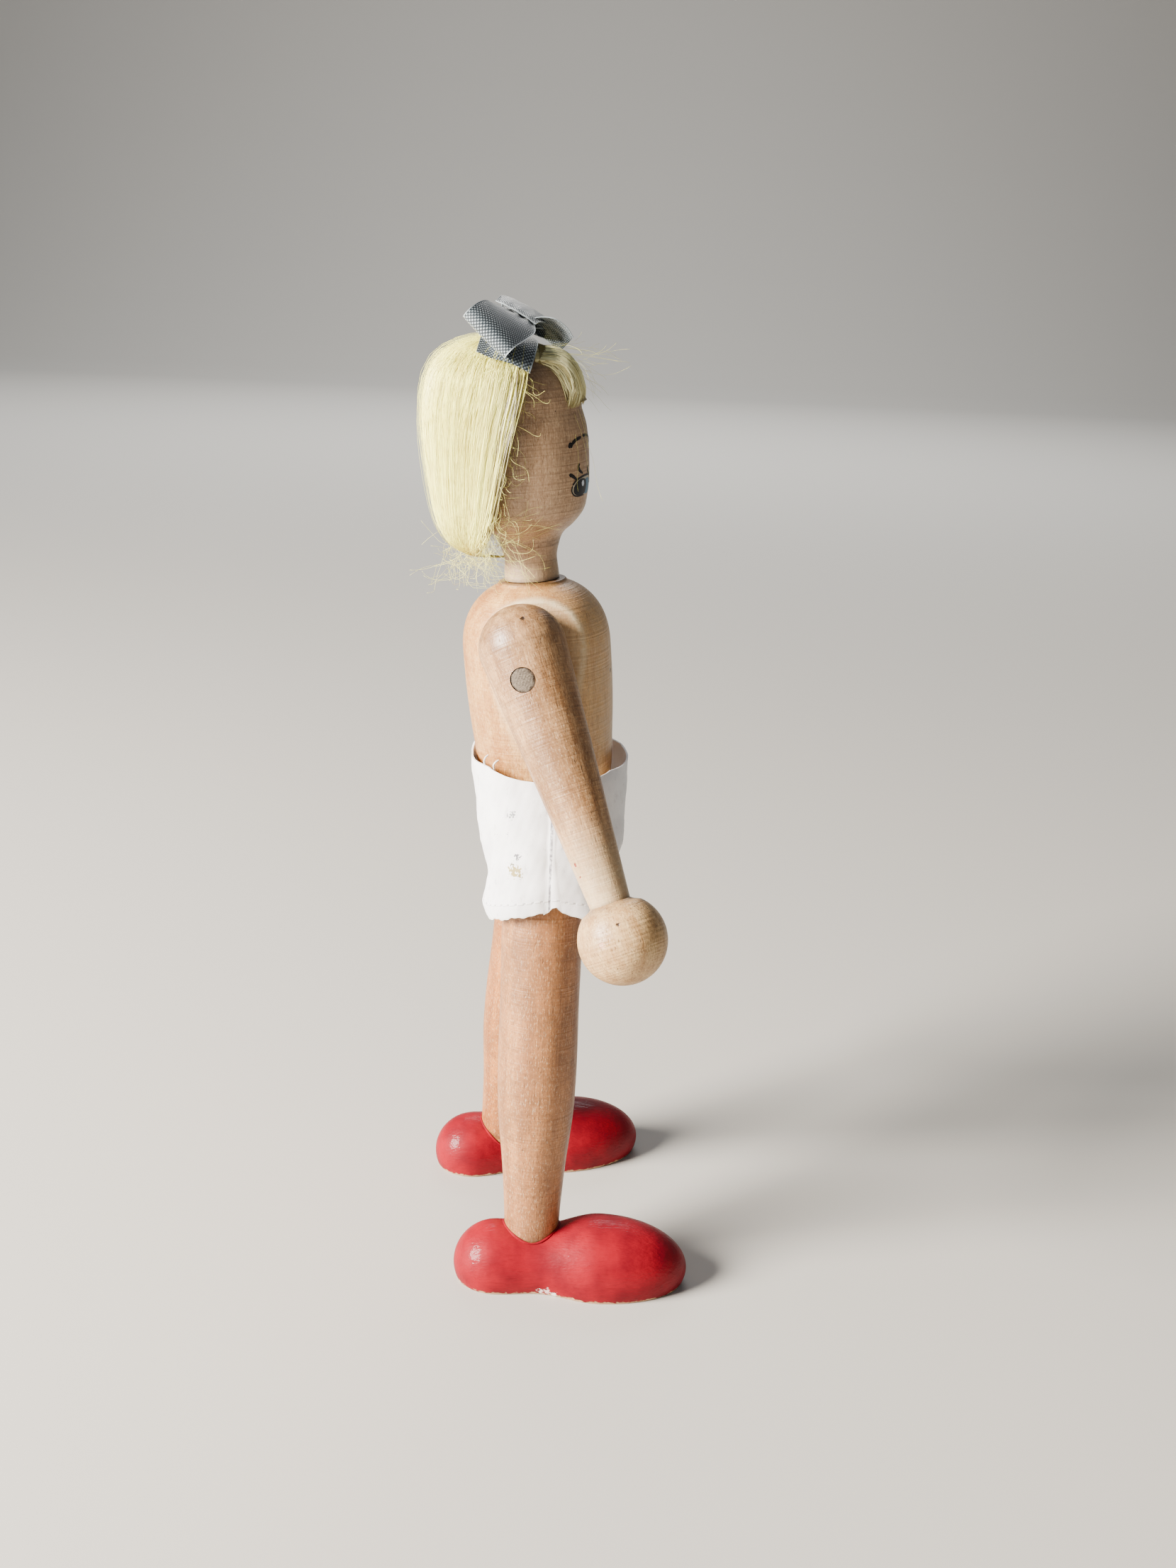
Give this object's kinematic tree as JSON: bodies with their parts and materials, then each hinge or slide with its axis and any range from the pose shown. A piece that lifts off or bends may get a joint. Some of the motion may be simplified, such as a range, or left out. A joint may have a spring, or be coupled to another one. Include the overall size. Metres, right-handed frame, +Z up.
{
  "type": "peg wooden doll",
  "caption": "Turned wooden doll standing on red shoes, with pegged shoulders, hips and neck, a blond bobbed wig, a grey ribbon bow and white cotton shorts.",
  "frame": {"origin": "centre of the bounding box in plan, on the floor under the soles", "axes": "+Z up the standing doll, which faces -Y; its own left hand is on +X and its right hand on -X"},
  "size_m": [0.0961, 0.0613, 0.2043],
  "materials": {
    "wood": "old turned birch, waxed and darkened by handling",
    "hand_wood": "turned birch, paler, with dark specks",
    "peg_wood": "dowel, grey end grain",
    "hair": "mohair, pale blond, glued",
    "ribbon": "woven satin ribbon, grey-blue",
    "red_enamel": "glossy red enamel on turned wood, chipped",
    "cotton": "fine plain weave, white, scuffed"
  },
  "bodies": {
    "torso": {"torso": "wood", "hip_peg": "peg_wood", "shorts_front_right": "cotton", "shorts_front_left": "cotton", "shorts_back_right": "cotton", "shorts_back_left": "cotton"},
    "head": {"head": "wood", "neck_peg": "peg_wood", "hair_bob": "hair", "hair_fringe": "hair", "bow_loop_right": "ribbon", "bow_loop_left": "ribbon", "bow_knot": "ribbon", "bow_tail": "ribbon"},
    "right_arm": {"arm_right": "wood", "shoulder_peg_right": "peg_wood", "hand_right": "hand_wood"},
    "left_arm": {"arm_left": "wood", "shoulder_peg_left": "peg_wood", "hand_left": "hand_wood"},
    "right_leg": {"leg_right": "wood", "shoe_right": "red_enamel"},
    "left_leg": {"leg_left": "wood", "shoe_left": "red_enamel"}
  },
  "joints": [
    {"name": "neck_turn", "type": "hinge", "parent": "torso", "child": "head", "pos_m": [0, 0.0083, 0.14855], "axis": [0, 0.1045, 0.9945], "continuous": true},
    {"name": "right_shoulder_swing", "type": "hinge", "parent": "torso", "child": "right_arm", "pos_m": [-0.0126, 0.00915, 0.13177], "axis": [-0.9925, 0.0127, 0.1212], "continuous": true},
    {"name": "left_shoulder_swing", "type": "hinge", "parent": "torso", "child": "left_arm", "pos_m": [0.0126, 0.00915, 0.13177], "axis": [-0.9925, -0.0127, -0.1212], "continuous": true},
    {"name": "right_hip_swing", "type": "hinge", "parent": "torso", "child": "right_leg", "pos_m": [0, 0.00363, 0.09595], "axis": [-1, 0, 0], "range_deg": [-30, 85], "deforming": ["shorts_front_right", "shorts_back_right"]},
    {"name": "left_hip_swing", "type": "hinge", "parent": "torso", "child": "left_leg", "pos_m": [0, 0.00363, 0.09595], "axis": [-1, 0, 0], "range_deg": [-25.4, 89.6], "deforming": ["shorts_front_left", "shorts_back_left"]}
  ]
}
